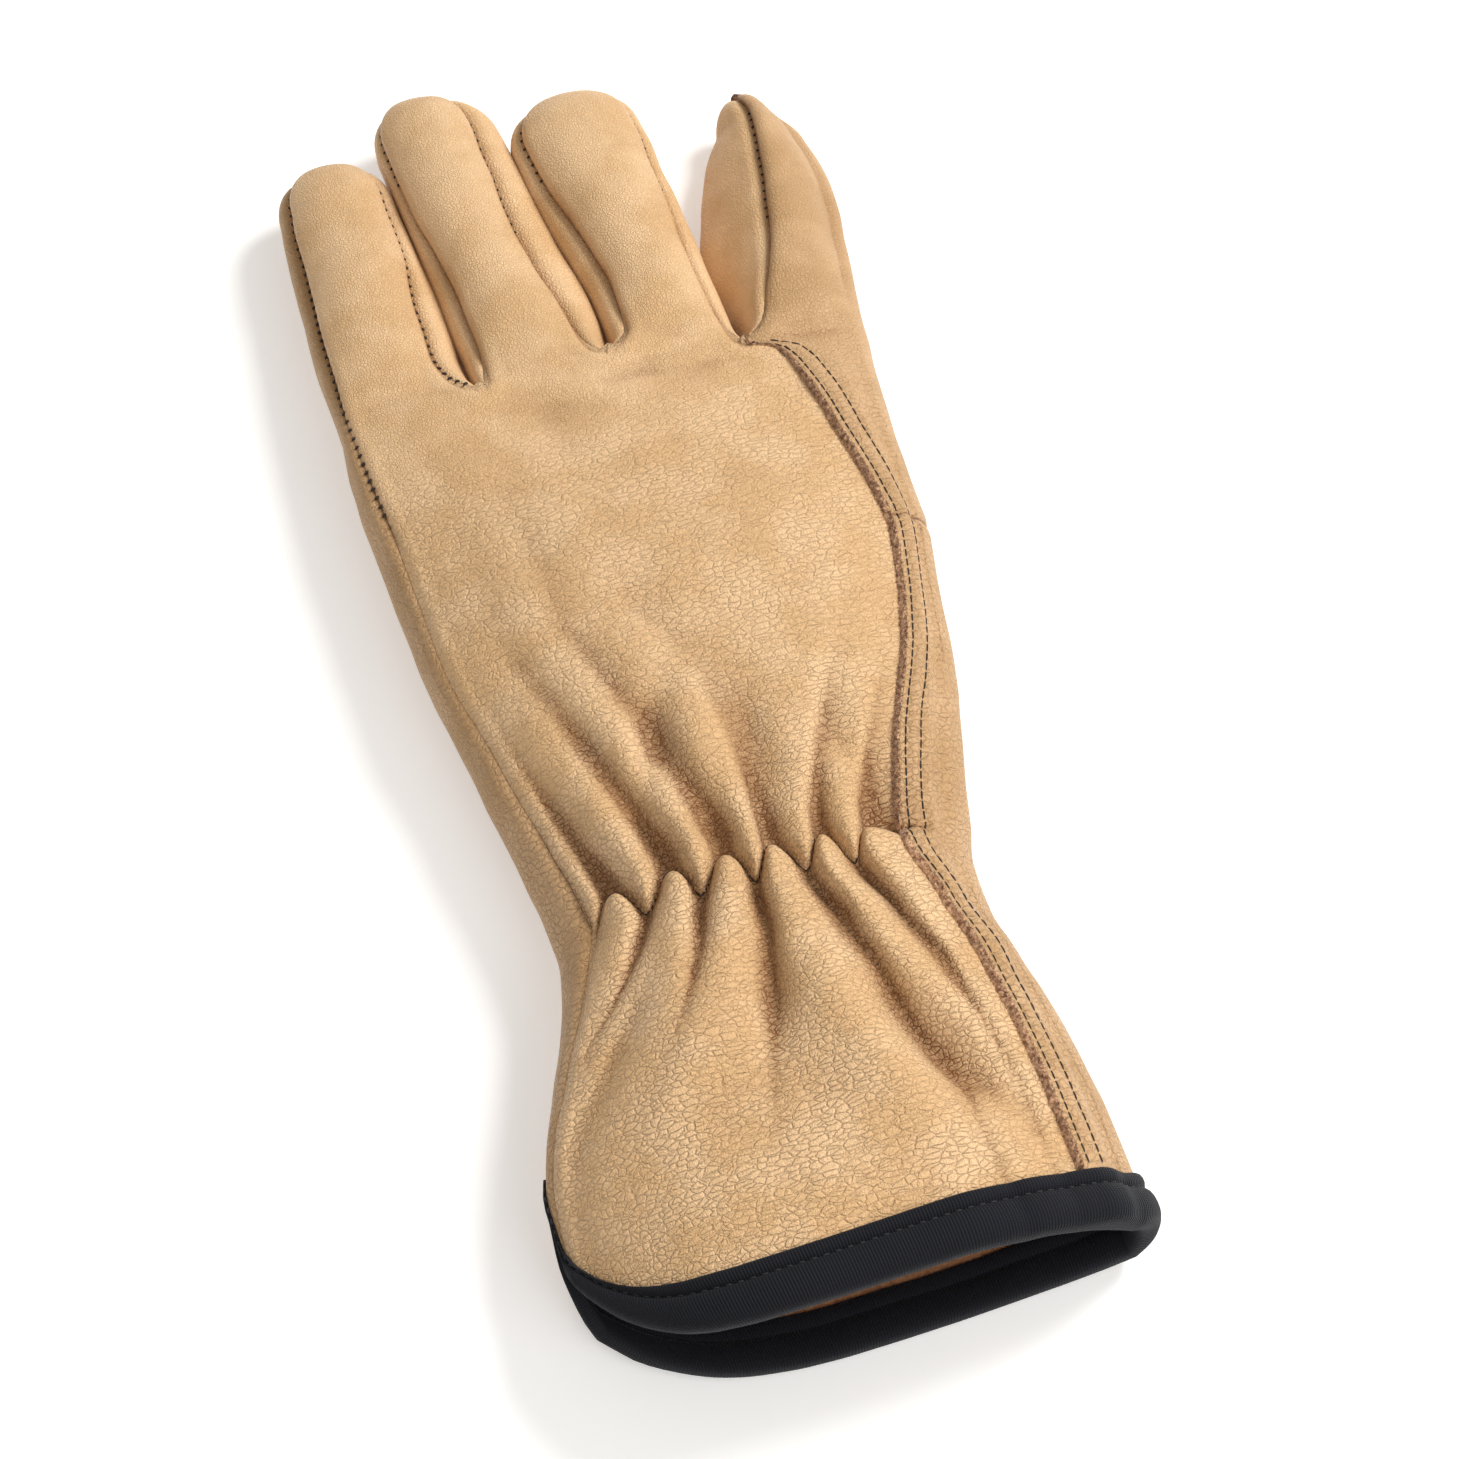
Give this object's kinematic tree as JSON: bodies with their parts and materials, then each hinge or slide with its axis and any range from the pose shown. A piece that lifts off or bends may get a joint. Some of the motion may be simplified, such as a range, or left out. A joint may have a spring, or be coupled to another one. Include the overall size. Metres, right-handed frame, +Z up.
{
  "type": "leather gardening glove",
  "caption": "Tan leather gardening glove with an elasticated gathered wrist, short flared cuff and dark knitted binding.",
  "frame": {"origin": "middle of the footprint on the surface that the glove lies on", "axes": "+Y from the cuff to the fingertips, +X towards the index finger, +Z up out of the back of the hand"},
  "size_m": [0.1366, 0.3088, 0.0382],
  "materials": {
    "back_leather": "pebbled full grain, tan, softly matt",
    "side_leather": "fine full grain, tan, softly matt",
    "binding": "fine ribbed knit, near black, matt",
    "thread": "dark brown polyester thread"
  },
  "bodies": {
    "root": {"back_panel": "back_leather", "palm_panel": "side_leather", "index_wrap": "side_leather", "fourchette_pinky_ring": "side_leather", "fourchette_ring_middle": "side_leather", "fourchette_middle_index": "side_leather", "thumb": "side_leather", "cuff_binding": "binding"}
  },
  "joints": []
}
